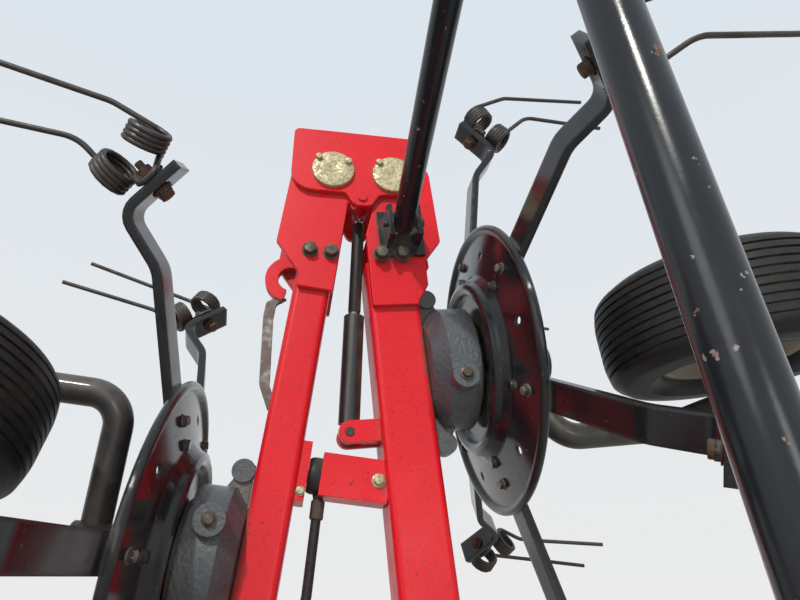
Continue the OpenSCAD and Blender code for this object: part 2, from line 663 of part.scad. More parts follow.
// Cylinders. The barrel turns on its pin, and the rod's eye stays clear of the lug that it serves.
function turned(v, a) = [v[0] * cos(a) - v[1] * sin(a), v[0] * sin(a) + v[1] * cos(a)];
fold_eye = [hinge_x, hinge_rise] + turned(crank, fold_inner);
fold_vec = fold_eye - [cyl_x, cyl_z];
module barrel(l, r, eye_w, pin) {
    difference() {
        union() {
            translate([30, 0, 0]) rotate([0, 90, 0]) cylinder(h = l - 30, r = r);
            yrod(0, 0, 26, -eye_w / 2, eye_w / 2);
            translate([0, -14, -16]) cube([40, 28, 32]);
            translate([l - 24, 0, 0]) rotate([0, 90, 0]) cylinder(h = 24, r = r + 4);
            yrod(0, 0, pin, -44, 44);
        }
        children();
    }
}
module fold_cylinder(side) {
    color(black) on_side(side) translate([cyl_x, cyl_y, beam_z + cyl_z])
        rotate([0, -atan2(fold_vec[1], fold_vec[0]), 0]) {
            barrel(470, 28, 54, cyl_pin_r)
                translate([120, 0, 0]) rotate([0, 90, 0]) cylinder(h = 400, r = 16 + rod_fit);
        }
}
module fold_rod(side) {
    l = norm(fold_vec);
    color(steel) on_side(side) translate([cyl_x, cyl_y, beam_z + cyl_z])
        rotate([0, -atan2(fold_vec[1], fold_vec[0]), 0]) {
            translate([130, 0, 0]) rotate([0, 90, 0]) cylinder(h = l - 150, r = 16);
            yrod(l, 0, 26, -eye_half, eye_half);
        }
}
link_foot = [pin_s - 520, 105];
link_pin = [pin_s, -pin_sink] + turned(link_eye, fold_link);
link_vec = link_pin - link_foot;
module link_cylinder(side) {
    color(black) on_inner(side) translate([link_foot[0], 0, link_foot[1]])
        rotate([0, -atan2(link_vec[1], link_vec[0]), 0]) {
            difference() {
                union() {
                    translate([20, 0, 0]) rotate([0, 90, 0]) cylinder(h = 215, r = 20);
                    yrod(0, 0, 16, -18, 18);
                    translate([0, -10, -12]) cube([30, 20, 24]);
                }
                translate([60, 0, 0]) rotate([0, 90, 0]) cylinder(h = 300, r = 9 + rod_fit);
            }
            yrod(0, 0, 8, -32, 32);
        }
}
module link_rod(side) {
    l = norm(link_vec);
    color(steel) on_inner(side) translate([link_foot[0], 0, link_foot[1]])
        rotate([0, -atan2(link_vec[1], link_vec[0]), 0]) {
            translate([70, 0, 0]) rotate([0, 90, 0]) cylinder(h = l - 82, r = 9);
            yrod(l, 0, 15, -link_eye_half, link_eye_half);
        }
}

// Guard hoop in front of the inner rotor, near the plane of the beam, with its bracket at the link
guard_z = -24;
module guard(side) {
    a = pin_s - 137;
    face = -wing_bar / 2 - plate_t - near;
    foot_face = -wing_bar / 2 - near;
    color(anthracite) on_inner(side) translate([0, 0, guard_z])
        bent_tube([
            [a, face - 34, 0], [pin_s + 10, -guard_y + 20, 0], [pin_s - 60, -guard_y, 0],
            [pin_s - 1180, -guard_y, 0], [pin_s - 1270, -guard_y + 140, 0], [foot + 120, foot_face - 6, 0]],
            guard_d, 60);
    color(anthracite) on_inner(side) translate([foot + 120 - 35, foot_face - 10, guard_z - 35])
        cube([70, 10, 70]);
    color(black) on_inner(side) {
        translate([a - 50, face - 10, guard_z - 45]) cube([100, 10, 90]);
        for (z = [-guard_d / 2 - 12, guard_d / 2 + 2])
            translate([a - 34, face - 64, guard_z + z]) cube([68, 56, 10]);
        // Cross bolt through the cheeks and the tube
        translate([a + 3, face - 42, guard_z - guard_d / 2 - 20]) cylinder(h = guard_d + 40, r = 8);
    }
}

centre_beam();
drawbar();
gearbox();
for (s = [1, -1]) at_centre(s) gear_case(centre_bar);  // centre_gears
for (s = [1, -1]) at_centre(s) wheel_leg(0);  // centre_legs
headstock();
stand_front(1);  // stand_front_left
stand_front(-1);  // stand_front_right
stand_rear();
at_centre(1) rotor_dish(centre_bar, phase_even);  // dish_centre_left
at_centre(1) rotor_tines(centre_bar, phase_even);  // tines_centre_left
at_centre(-1) rotor_dish(centre_bar, phase_even + half_step);  // dish_centre_right
at_centre(-1) rotor_tines(centre_bar, phase_even + half_step);  // tines_centre_right
at_centre(1) at_wheel(0) tyre();  // tyre_centre_left
at_centre(1) at_wheel(0) rim();  // rim_centre_left
at_centre(-1) at_wheel(0) tyre();  // tyre_centre_right
at_centre(-1) at_wheel(0) rim();  // rim_centre_right
inner_beam(1);  // inner_beam_left
at_inner(1) gear_case(inner_bar);  // inner_gear_left
at_inner(1) wheel_leg(1);  // inner_leg_left
guard(1);  // guard_left
at_inner(1) rotor_dish(inner_bar, phase_odd);  // dish_inner_left
at_inner(1) rotor_tines(inner_bar, phase_odd);  // tines_inner_left
at_inner(1) at_wheel(1) tyre();  // tyre_inner_left
at_inner(1) at_wheel(1) rim();  // rim_inner_left
link(1);  // link_left
outer_beam(1);  // outer_beam_left
at_outer(1) gear_case(outer_bar);  // outer_gear_left
at_outer(1) wheel_leg(2);  // outer_leg_left
at_outer(1) rotor_dish(outer_bar, phase_even);  // dish_outer_left
at_outer(1) rotor_tines(outer_bar, phase_even);  // tines_outer_left
at_outer(1) at_wheel(2) tyre();  // tyre_outer_left
at_outer(1) at_wheel(2) rim();  // rim_outer_left
fold_cylinder(1);  // fold_cylinder_left
fold_rod(1);  // fold_rod_left
link_cylinder(1);  // link_cylinder_left
link_rod(1);  // link_rod_left
inner_beam(-1);  // inner_beam_right
at_inner(-1) gear_case(inner_bar);  // inner_gear_right
at_inner(-1) wheel_leg(1);  // inner_leg_right
guard(-1);  // guard_right
at_inner(-1) rotor_dish(inner_bar, phase_odd + half_step);  // dish_inner_right
at_inner(-1) rotor_tines(inner_bar, phase_odd + half_step);  // tines_inner_right
at_inner(-1) at_wheel(1) tyre();  // tyre_inner_right
at_inner(-1) at_wheel(1) rim();  // rim_inner_right
link(-1);  // link_right
outer_beam(-1);  // outer_beam_right
at_outer(-1) gear_case(outer_bar);  // outer_gear_right
at_outer(-1) wheel_leg(2);  // outer_leg_right
at_outer(-1) rotor_dish(outer_bar, phase_even + half_step);  // dish_outer_right
at_outer(-1) rotor_tines(outer_bar, phase_even + half_step);  // tines_outer_right
at_outer(-1) at_wheel(2) tyre();  // tyre_outer_right
at_outer(-1) at_wheel(2) rim();  // rim_outer_right
fold_cylinder(-1);  // fold_cylinder_right
fold_rod(-1);  // fold_rod_right
link_cylinder(-1);  // link_cylinder_right
link_rod(-1);  // link_rod_right
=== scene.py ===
"""A six-rotor hay tedder, parked with both wings folded up, seen past one folded wing.

Everything is in metres in the part's own frame: the floor is z = 0, the tractor is towards -Y,
and the photographed wing is the machine's left one, at +X.
"""
import math

import bmesh
import bpy
import numpy as np
from mathutils import Matrix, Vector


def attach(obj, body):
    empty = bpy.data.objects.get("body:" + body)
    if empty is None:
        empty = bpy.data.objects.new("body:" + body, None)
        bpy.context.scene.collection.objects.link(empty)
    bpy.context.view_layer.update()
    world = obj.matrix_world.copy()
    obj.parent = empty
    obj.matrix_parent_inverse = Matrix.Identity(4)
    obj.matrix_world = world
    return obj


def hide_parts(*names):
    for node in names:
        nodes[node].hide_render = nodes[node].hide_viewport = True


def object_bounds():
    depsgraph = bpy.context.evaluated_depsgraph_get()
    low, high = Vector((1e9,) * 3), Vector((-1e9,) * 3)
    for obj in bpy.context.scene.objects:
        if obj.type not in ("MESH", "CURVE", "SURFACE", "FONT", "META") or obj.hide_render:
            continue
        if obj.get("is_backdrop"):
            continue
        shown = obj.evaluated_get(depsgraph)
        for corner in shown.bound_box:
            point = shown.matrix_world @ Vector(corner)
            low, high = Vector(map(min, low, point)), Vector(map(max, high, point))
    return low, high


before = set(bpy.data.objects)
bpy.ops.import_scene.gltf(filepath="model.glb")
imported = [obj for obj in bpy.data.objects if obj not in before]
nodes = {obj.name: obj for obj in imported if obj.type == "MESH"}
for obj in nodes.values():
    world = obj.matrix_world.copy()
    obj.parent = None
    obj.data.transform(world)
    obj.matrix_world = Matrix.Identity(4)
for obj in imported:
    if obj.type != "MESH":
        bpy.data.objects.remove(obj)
cad_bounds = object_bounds()
scene = bpy.context.scene

# Camera: a wide lens just in front of the left wing, below its link, that looks up and back.
# It is fitted to the photograph by the link's pins, the beams, the dish and the arm bolts.
BOX_SHIFT = 0.143226  # the beams lie this far behind the middle of the machine's box
LINK_MID = (0.8919, BOX_SHIFT, 2.2806)
CAMERA_FROM_LINK = (-0.1005, -1.1017, -0.7857)
YAW, PITCH, ROLL = 0.1687, 0.446, -0.0134  # radians
FOCAL_PX, PHOTO_WIDTH_PX, SENSOR_MM = 607.5, 800, 36.0
CLIP_START = 0.02


def place_of(columns, origin):
    """A 4 x 4 place from its three axes as columns and its origin."""
    made = np.eye(4)
    made[:3, :3], made[:3, 3] = columns, origin
    return made


def camera_axes(yaw, pitch, roll):
    """Columns (right, up, back). Ahead is (sin yaw cos pitch, cos yaw cos pitch, sin pitch), right
    is level, up is square to both, and the roll turns right towards up."""
    level = math.cos(pitch)
    ahead = np.array([math.sin(yaw) * level, math.cos(yaw) * level, math.sin(pitch)])
    right = np.array([math.cos(yaw), -math.sin(yaw), 0.0])
    up = np.cross(right, ahead)
    c, s = math.cos(roll), math.sin(roll)
    return np.column_stack([c * right + s * up, c * up - s * right, -ahead])


camera = bpy.data.objects.new("camera", bpy.data.cameras.new("camera"))
scene.collection.objects.link(camera)
scene.camera = camera
camera.data.sensor_width = SENSOR_MM
camera.data.lens = FOCAL_PX / PHOTO_WIDTH_PX * SENSOR_MM
camera.data.clip_start = CLIP_START
camera_place = place_of(camera_axes(YAW, PITCH, ROLL), np.add(LINK_MID, CAMERA_FROM_LINK))
camera.matrix_world = Matrix(camera_place.tolist())
scene.view_settings.view_transform = "Standard"

# Stage: a pale floor under the machine, a pale sky for the camera and for reflections, and soft
# studio light: a sun from the front left, and two discs that lighten the shadows.
SKY_LOW, SKY_HIGH = (0.84, 0.84, 0.83), (0.72, 0.78, 0.84)
SKY_LIGHT, SKY_POWER = (0.92, 0.96, 1.0, 1.0), 0.42
FLOOR_HALF, FLOOR_COLOUR, FLOOR_ROUGHNESS = 9, (0.62, 0.61, 0.59, 1), 0.9
LAMPS = {  # kind, place, target, energy, disc's size or sun's angle, colour
    "sun": ("SUN", (-1.5, -6.0, 7.0), (0.9, 0.1, 1.9), 1.9, math.radians(2.0), (1.0, 0.97, 0.92)),
    "soft_left": ("AREA", (-3.5, -4.5, 3.5), (0.8, 0.1, 1.8), 70.0, 3.0, (0.95, 0.98, 1.0)),
    "soft_low": ("AREA", (1.8, -6.5, 1.9), (0.9, 0.1, 1.8), 48.0, 1.8, (1.0, 0.98, 0.95)),
}


def add(tree, kind, sockets=None, **settings):
    """A new node of that kind: settings are its properties, and sockets are values or links."""
    made = tree.nodes.new(kind)
    for key, value in settings.items():
        setattr(made, key, value)
    for key, value in (sockets or {}).items():
        if isinstance(value, bpy.types.NodeSocket):
            tree.links.new(value, made.inputs[key])
        else:
            made.inputs[key].default_value = value
    return made


def maths(tree, operation, *values, clamp=False):
    """The result of a Math node on links or numbers."""
    sockets = dict(enumerate(values))
    return add(tree, "ShaderNodeMath", sockets, operation=operation, use_clamp=clamp).outputs[0]


def ramp(tree, value, low, high, first=0.0, last=1.0):
    """A number that goes from first to last while value goes from low to high."""
    sockets = {"Value": value, "From Min": low, "From Max": high, "To Min": first, "To Max": last}
    return add(tree, "ShaderNodeMapRange", sockets).outputs[0]


def mix(tree, factor, first, second):
    """Colour first where factor is 0 and second where it is 1. Each is a link or an RGB triple."""
    both = [c if isinstance(c, bpy.types.NodeSocket) else (*c, 1.0) for c in (first, second)]
    sockets = {0: factor, 6: both[0], 7: both[1]}
    return add(tree, "ShaderNodeMix", sockets, data_type="RGBA").outputs[2]


def aim(name, kind, place, target, energy, size, colour):
    """A lamp at place that points at target."""
    lamp = bpy.data.lights.new(name, kind)
    lamp.energy, lamp.color = energy, colour
    if kind == "AREA":
        lamp.shape, lamp.size = "DISK", size
    else:
        lamp.angle = size
    made = bpy.data.objects.new(name, lamp)
    scene.collection.objects.link(made)
    away = np.subtract(place, target)
    away = away / np.linalg.norm(away)
    aside = np.cross((0.0, 0.0, 1.0), away)
    aside = aside / np.linalg.norm(aside)
    columns = np.column_stack([aside, np.cross(away, aside), away])
    made.matrix_world = Matrix(place_of(columns, place).tolist())


world = bpy.data.worlds.new("studio")
scene.world = world
world.use_nodes = True
sky = world.node_tree
sky.nodes.clear()
ray = add(sky, "ShaderNodeLightPath").outputs
mirrored = maths(sky, "MAXIMUM", ray["Is Camera Ray"], ray["Is Glossy Ray"])
seen = maths(sky, "MAXIMUM", mirrored, ray["Is Transmission Ray"])
upward = add(sky, "ShaderNodeSeparateXYZ", {0: add(sky, "ShaderNodeTexCoord").outputs["Generated"]})
tone = mix(sky, ramp(sky, upward.outputs["Z"], -0.1, 0.7), SKY_LOW, SKY_HIGH)
lit = add(sky, "ShaderNodeBackground", {"Color": SKY_LIGHT, "Strength": SKY_POWER})
shown = add(sky, "ShaderNodeBackground", {"Color": tone, "Strength": 1.0})
pick = add(sky, "ShaderNodeMixShader", {0: seen, 1: lit.outputs[0], 2: shown.outputs[0]})
add(sky, "ShaderNodeOutputWorld", {"Surface": pick.outputs[0]})

floor_mesh = bpy.data.meshes.new("floor")
floor_signs = ((-1, -1), (1, -1), (1, 1), (-1, 1))
floor_corners = [(FLOOR_HALF * x, FLOOR_HALF * y, 0) for x, y in floor_signs]
floor_mesh.from_pydata(floor_corners, [], [(0, 1, 2, 3)])
floor = bpy.data.objects.new("floor", floor_mesh)
scene.collection.objects.link(floor)
floor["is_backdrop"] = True
floor_look = bpy.data.materials.new("floor_look")
floor_look.use_nodes = True
floor_surface = floor_look.node_tree.nodes["Principled BSDF"]
floor_surface.inputs["Base Color"].default_value = FLOOR_COLOUR
floor_surface.inputs["Roughness"].default_value = FLOOR_ROUGHNESS
floor_mesh.materials.append(floor_look)
for lamp_name, lamp_values in LAMPS.items():
    aim(lamp_name, *lamp_values)

# Beams, drawbar, headstock and folding links: welded square tube and plate, sprayed bright red.
# They keep the CAD solids. Their edges are rubbed, dust lies on top, and chips show dark primer.
DUST, RUST = (0.34, 0.29, 0.22), (0.16, 0.055, 0.025)


def group(name, inputs, outputs):
    """A new shader node group with float inputs {name: value} and outputs {name: socket type}."""
    tree = bpy.data.node_groups.new(name, "ShaderNodeTree")
    for key, value in inputs.items():
        made = tree.interface.new_socket(key, in_out="INPUT", socket_type="NodeSocketFloat")
        made.default_value = value
    for key, kind in outputs.items():
        tree.interface.new_socket(key, in_out="OUTPUT", socket_type=kind)
    return tree, tree.nodes.new("NodeGroupInput"), tree.nodes.new("NodeGroupOutput")


def noise(tree, place, scale, detail, roughness=0.5):
    """Noise with scale features to the metre."""
    sockets = {"Vector": place, "Scale": scale, "Detail": detail, "Roughness": roughness}
    return add(tree, "ShaderNodeTexNoise", sockets).outputs[0]


def blotches(tree, place, scale, low, high, detail=6.0):
    """Noise of that scale, cut to 0 below low and to 1 above high."""
    return ramp(tree, noise(tree, place, scale, detail, 0.6), low, high)


def wear_group():
    """Masks of the surface: Edge where it turns sharply, Chip in spots on edges and faces,
    Dust where it looks up, Grime And Shade in corners (dirt, and painted shade from ambient
    occlusion), and the normal with its edges rounded."""
    number, vector = "NodeSocketFloat", "NodeSocketVector"
    tree, given, out = group(
        "wear",
        {"Edge Width": 0.003, "Chips": 0.5, "Dust": 0.5},
        {"Edge": number, "Chip": number, "Dust": number, "Grime And Shade": number,
         "Round Normal": vector, "Blotch": number},
    )
    place = add(tree, "ShaderNodeTexCoord").outputs["Object"]
    flat = add(tree, "ShaderNodeNewGeometry").outputs["Normal"]
    # Edge: where the normal of a small bevel leaves the face's own
    width = given.outputs["Edge Width"]
    bevel = add(tree, "ShaderNodeBevel", {"Radius": width}, samples=4).outputs[0]
    agree = add(tree, "ShaderNodeVectorMath", {0: bevel, 1: flat}, operation="DOT_PRODUCT")
    edge = ramp(tree, agree.outputs["Value"], 0.995, 0.86)
    # Chip: many spots on edges, and a few on faces
    on_edge = maths(tree, "MULTIPLY", edge, blotches(tree, place, 90.0, 0.56, 0.60, 4.0))
    on_face = blotches(tree, place, 75.0, 0.69, 0.705, 3.0)
    spots = maths(tree, "MAXIMUM", on_edge, on_face)
    chip = maths(tree, "MULTIPLY", spots, given.outputs["Chips"], clamp=True)
    # Dust: fine specks in large fields, most of it on what looks up
    upward = add(tree, "ShaderNodeSeparateXYZ", {0: flat}).outputs["Z"]
    large = blotches(tree, place, 3.5, 0.35, 0.68)
    fine = blotches(tree, place, 60.0, 0.3, 0.75)
    speckled = maths(tree, "MULTIPLY", maths(tree, "MULTIPLY_ADD", large, 0.6, 0.25), fine)
    lying = maths(tree, "MULTIPLY", speckled, ramp(tree, upward, -0.5, 1.0, 0.25, 1.0))
    dust = maths(tree, "MULTIPLY", lying, given.outputs["Dust"], clamp=True)
    # Grime And Shade: rough patches in tight corners where ambient occlusion is low, partly dirt
    # and partly painted shade
    openness = add(tree, "ShaderNodeAmbientOcclusion", {"Distance": 0.05}, samples=6).outputs["AO"]
    rough = blotches(tree, place, 25.0, 0.3, 0.7)
    grime_and_shade = maths(tree, "MULTIPLY", ramp(tree, openness, 0.75, 0.25), rough, clamp=True)
    results = {"Edge": edge, "Chip": chip, "Dust": dust, "Grime And Shade": grime_and_shade,
               "Round Normal": bevel, "Blotch": large}
    for key, socket in results.items():
        tree.links.new(socket, out.inputs[key])
    return tree


WEAR = wear_group()


def look_of(name):
    """A new material, its tree, its principled shader and the object coordinates."""
    made = bpy.data.materials.new(name)
    made.use_nodes = True
    tree = made.node_tree
    place = add(tree, "ShaderNodeTexCoord").outputs["Object"]
    return made, tree, tree.nodes["Principled BSDF"], place


def between(tree, factor, first, second):
    """A number that goes from first to second with factor."""
    sockets = {0: factor, 2: first, 3: second}
    return add(tree, "ShaderNodeMix", sockets, data_type="FLOAT").outputs[0]


def wear_in(tree, **values):
    """The wear group in a material, with its own values."""
    made = add(tree, "ShaderNodeGroup", node_tree=WEAR)
    for key, value in values.items():
        made.inputs[key.replace("_", " ")].default_value = value
    return made.outputs


def bump_in(tree, surface, height, strength, depth, normal=None):
    """Bumps the shader's normal by height, on top of another normal where one is given."""
    sockets = {"Height": height, "Strength": strength, "Distance": depth}
    if normal:
        sockets["Normal"] = normal
    tree.links.new(add(tree, "ShaderNodeBump", sockets).outputs[0], surface.inputs["Normal"])


def paint(name, colour, shade, under, rough, chips, dust, dust_colour=DUST, peel=0.1, coat=0.25,
          edge=0.003, grain=(260.0, 0.0006), specks=0.0, shine=0.5):
    """Gloss paint: colour with a blotchy shade and specks of dirt, chips down to under, then
    grime with painted shade in corners, and dust. Its grain is a noise scale and a depth."""
    made, tree, surface, place = look_of(name)
    wear = wear_in(tree, Edge_Width=edge, Chips=chips, Dust=dust)
    base = mix(tree, wear["Blotch"], colour, shade)
    if specks:
        speck = maths(tree, "MULTIPLY", blotches(tree, place, 210.0, 0.635, 0.68, 2.0), specks)
        base = mix(tree, speck, base, [c * 0.15 + 0.01 for c in colour])
    rubbed = mix(tree, wear["Edge"], base, [min(1.0, c * 1.25 + 0.01) for c in colour])
    bared = mix(tree, blotches(tree, place, 140.0, 0.35, 0.65), under, RUST)
    chipped = mix(tree, wear["Chip"], rubbed, bared)
    # Grime and painted shade: a darkened dust colour in the corners that ambient occlusion finds
    dirt_and_shade = mix(tree, wear["Grime And Shade"], chipped, [c * 0.55 for c in dust_colour])
    tree.links.new(mix(tree, wear["Dust"], dirt_and_shade, dust_colour), surface.inputs["Base Color"])
    matt = maths(tree, "MAXIMUM", wear["Dust"], wear["Chip"])
    gloss = between(tree, blotches(tree, place, 18.0, 0.3, 0.7), rough, rough + 0.12)
    tree.links.new(between(tree, matt, gloss, 0.75), surface.inputs["Roughness"])
    surface.inputs["Specular IOR Level"].default_value = shine
    surface.inputs["Coat Weight"].default_value = coat
    surface.inputs["Coat Roughness"].default_value = 0.12
    # Orange peel of sprayed paint, and the rim of each chip
    height = maths(tree, "MULTIPLY_ADD", wear["Chip"], -2.0, noise(tree, place, grain[0], 3.0))
    bump_in(tree, surface, height, peel, grain[1], wear["Round Normal"])
    return made


def wear_look(material, *names):
    """Gives CAD nodes that material."""
    for name in names:
        mesh = nodes[name].data
        mesh.materials.clear()
        mesh.materials.append(material)


SIDES = ("left", "right")


def both_sides(*names):
    """The names of a piece on the left and on the right."""
    return [f"{name}_{side}" for name in names for side in SIDES]


RED = paint("red_paint", (0.77, 0.008, 0.019), (0.68, 0.006, 0.016), (0.06, 0.03, 0.03),
            rough=0.34, chips=0.9, dust=0.05, coat=0.05, specks=0.55, shine=0.3)
wear_look(RED, "centre_beam", "drawbar", "headstock",
          *both_sides("inner_beam", "link", "outer_beam"))

# End plates of the wing beams and the plates of the link: thick plate cut with chamfers and
# round corners, in the same red. They lie over the CAD's plainer plates.
HINGE, HINGE_ABOVE = (0.930, 0, 0.868), 0.145  # of the wing, and how far it is above its beam
WING_FOLD, LINK_FOLD = 95.8, 83.8  # degrees at the hinge, and at each of the link's two pins
PIN_S, PIN_DROP = 1.4025, 0.022  # the link's first pin, along and below the inner beam
PIN_SPACING = 0.125  # from there to its second pin


def shift(x, y, z):
    """A move by (x, y, z)."""
    return place_of(np.eye(3), (x, y, z))


def turn_y(degrees):
    """A turn about Y by that angle, which takes +X towards +Z."""
    c, s = math.cos(math.radians(degrees)), math.sin(math.radians(degrees))
    return np.array([[c, 0, -s, 0], [0, 1, 0, 0], [s, 0, c, 0], [0, 0, 0, 1.0]])


def turn_z(degrees):
    """A turn about Z by that angle, which takes +X towards +Y."""
    c, s = math.cos(math.radians(degrees)), math.sin(math.radians(degrees))
    return np.array([[c, -s, 0, 0], [s, c, 0, 0], [0, 0, 1, 0], [0, 0, 0, 1.0]])


# The sections' frames on the left side, as the part's source has them: X runs out along the beam
# from its hinge or pin, and Z is the beam's upper side. The right side is their mirror image.
MIDDLE = shift(0, BOX_SHIFT, 0)
INNER = MIDDLE @ shift(*HINGE) @ turn_y(WING_FOLD) @ shift(0, 0, -HINGE_ABOVE)
LINK = INNER @ shift(PIN_S, 0, -PIN_DROP) @ turn_y(LINK_FOLD)
OUTER = LINK @ shift(PIN_SPACING, 0, 0) @ turn_y(LINK_FOLD)
MIRROR = {"left": np.eye(4), "right": np.diag([-1.0, 1.0, 1.0, 1.0])}


def grid(rows, columns, round_rows=False):
    """Quads between rows x columns points. Columns close on themselves, and rows where asked."""
    i = np.arange(rows if round_rows else rows - 1)[:, None]
    j = np.arange(columns)[None, :]
    a, b = i * columns, (i + 1) % rows * columns
    k = (j + 1) % columns
    return np.stack(np.broadcast_arrays(a + j, a + k, b + k, b + j), axis=-1).reshape(-1, 4)


def rings(points, round_rows=False):
    """A surface through rings of points (rows, columns, 3), with flat faces at its ends: (points,
    vertex numbers face after face, number of corners of each face)."""
    rows, columns = points.shape[:2]
    quads = grid(rows, columns, round_rows)
    loops, totals = [quads.ravel()], [np.full(len(quads), 4)]
    if not round_rows:
        loops += [np.arange(columns)[::-1], np.arange(columns) + (rows - 1) * columns]
        totals += [[columns], [columns]]
    return points.reshape(-1, 3), np.concatenate(loops), np.concatenate(totals)


def moved(points, place):
    """Points moved by a 4 x 4 matrix."""
    return np.asarray(points, float) @ place[:3, :3].T + place[:3, 3]


def placed(part, place):
    """The part moved by a 4 x 4 matrix."""
    return moved(part[0], place), part[1], part[2]


def build(name, looks, body, replaces=(), sharp=35.0):
    """One object from {material: parts}, facing outwards, that rides on body. Edges that turn by
    more than sharp degrees stay sharp."""
    parts = [part for few in looks.values() for part in few]
    starts = np.cumsum([0] + [len(part[0]) for part in parts[:-1]])
    points = np.concatenate([part[0] for part in parts])
    loops = np.concatenate([part[1] + start for part, start in zip(parts, starts)])
    totals = np.concatenate([part[2] for part in parts])
    faces = [sum(len(part[2]) for part in few) for few in looks.values()]
    mesh = bpy.data.meshes.new(name)
    mesh.vertices.add(len(points))
    mesh.vertices.foreach_set("co", points.astype(np.float32).ravel())
    mesh.loops.add(len(loops))
    mesh.polygons.add(len(totals))
    mesh.polygons.foreach_set("loop_start", (np.cumsum(totals) - totals).astype(np.int32))
    mesh.polygons.foreach_set("vertices", loops.astype(np.int32))
    slots = np.repeat(np.arange(len(faces)), faces)
    mesh.polygons.foreach_set("material_index", slots.astype(np.int32))
    mesh.polygons.foreach_set("use_smooth", np.ones(len(totals), bool))
    for material in looks:
        mesh.materials.append(material)
    mesh.update(calc_edges=True)
    work = bmesh.new()
    work.from_mesh(mesh)
    bmesh.ops.recalc_face_normals(work, faces=work.faces)
    work.to_mesh(mesh)
    work.free()
    mesh.set_sharp_from_angle(angle=math.radians(sharp))
    made = bpy.data.objects.new(name, mesh)
    scene.collection.objects.link(made)
    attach(made, body)
    if replaces:
        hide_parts(*replaces)


def rounded(corners, radii, count=6):
    """The corners (n, 2 or 3) of an open path, each inner one rounded by an arc of its radius:
    centre + r (sin g * along - cos g * across) between the two tangent points."""
    p = np.asarray(corners, float)
    made = [p[0]]
    for before, here, after, r in zip(p[:-2], p[1:-1], p[2:], radii):
        u, w = here - before, after - here
        u, w = u / np.linalg.norm(u), w / np.linalg.norm(w)
        angle = math.acos(float(np.clip(u @ w, -1, 1)))
        if r <= 0 or angle < 1e-3:
            made.append(here)
            continue
        across = w - u * (u @ w)
        across = across / np.linalg.norm(across)
        centre = here - u * r * math.tan(angle / 2) + across * r
        g = np.linspace(0, angle, count)[:, None]
        made.extend(centre + r * (u * np.sin(g) - across * np.cos(g)))
    made.append(p[-1])
    return np.array(made)


def outline(corners, radii):
    """A closed outline with rounded corners: radii go with the corners."""
    p = np.asarray(corners, float)
    first = (p[0] + p[-1]) / 2
    return rounded([first, *p, first], radii)[:-1]


def upright(shape, y):
    """The points (x, z) of a shape, set up at y."""
    return np.column_stack([shape[:, 0], np.full(len(shape), y), shape[:, 1]])


def prism(shape, low, high, bevel=0.0012):
    """A plate with the outline shape (x, z) from y = low to y = high, with broken edges: each
    face's rim lies bevel inside the outline, towards its middle."""
    inward = shape.mean(axis=0) - shape
    inset = shape + inward * (bevel / np.linalg.norm(inward, axis=1))[:, None]
    layers = ((inset, low), (shape, low + bevel), (shape, high - bevel), (inset, high))
    return rings(np.array([upright(layer, y) for layer, y in layers]))


BEAM_PLATE_Y, LINK_PLATE_Y = (0.0497, 0.0623), (0.0624, 0.0749)  # inner and outer face
PLATES = {  # body, frame, faces, corners (x, z) and their radii in mm
    "outer_end_plates": (
        "outer", OUTER, BEAM_PLATE_Y,
        [(-40, -60), (-22, -83), (179, -83), (238, -30), (268, -27), (268, 41), (-30, 41)],
        [25, 20, 4, 10, 3, 3, 30]),
    "inner_end_plates": (
        "wing", INNER, BEAM_PLATE_Y,
        [(1112, -45), (1177, -45), (1251, -106), (1450, -104), (1458, 22), (1340, 22), (1270, 45),
         (1112, 45)],
        [3, 6, 5, 42, 30, 10, 10, 3]),
    "link_plates": (
        "link_body", LINK, LINK_PLATE_Y,
        [(-50, -104), (210, -104), (210, 51), (96, 51), (80, 80), (44, 80), (28, 51), (-50, 40)],
        [18, 12, 45, 12, 17, 17, 12, 20]),
}
for side in SIDES:
    for piece, (body, where, (inner_y, outer_y), corners, radii) in PLATES.items():
        shape = outline(np.array(corners) / 1000, np.array(radii) / 1000)
        pair = [prism(shape, -outer_y, -inner_y), prism(shape, inner_y, outer_y)]
        plates = [placed(plate, MIRROR[side] @ where) for plate in pair]
        build(f"{piece}_{side}", {RED: plates}, f"{body}_{side}")

# Pin caps: yellow-zinc discs on the ends of the link's two pins, each with two small hex bolts
# and a greasing hole in its middle. Dirt has settled on them in specks.


def metal(name, colour, stain, rough, amount, scale=30.0, shine=0.9):
    """Bare or plated steel: a stain in blotches, grime with painted shade in corners and a fine
    grain.
    """
    made, tree, surface, place = look_of(name)
    wear = wear_in(tree, Edge_Width=0.0015)
    stained = blotches(tree, place, scale, 0.5 - amount / 2, 0.72 - amount / 2)
    base = mix(tree, stained, colour, stain)
    # Grime and painted shade: a darkened stain colour in the corners that ambient occlusion finds
    dirt_and_shade = mix(tree, wear["Grime And Shade"], base, [c * 0.4 for c in stain])
    tree.links.new(mix(tree, wear["Dust"], dirt_and_shade, DUST), surface.inputs["Base Color"])
    tree.links.new(between(tree, stained, rough, 0.8), surface.inputs["Roughness"])
    tree.links.new(between(tree, stained, shine, 0.15), surface.inputs["Metallic"])
    bump_in(tree, surface, noise(tree, place, 400.0, 3.0), 0.25, 0.0004, wear["Round Normal"])
    return made


def lathe(profile, steps=32, closed=False, spin=0.0):
    """The profile (r, z) turned about Z: points (r cos u, r sin u, z). A closed profile makes a
    ring, and an open one gets flat ends."""
    p = np.asarray(profile, float)
    u = np.linspace(0, 2 * math.pi, steps, endpoint=False)[None, :] + spin
    r, z = p[:, 0][:, None], p[:, 1][:, None]
    return rings(np.stack([r * np.cos(u), r * np.sin(u), z + 0 * u], axis=-1), closed)


def facing_y(x, y, z, sign=-1):
    """A place in a section's frame whose Z looks along sign * Y."""
    return place_of(np.column_stack([(1, 0, 0), (0, 0, -sign), (0, sign, 0)]), (x, y, z))


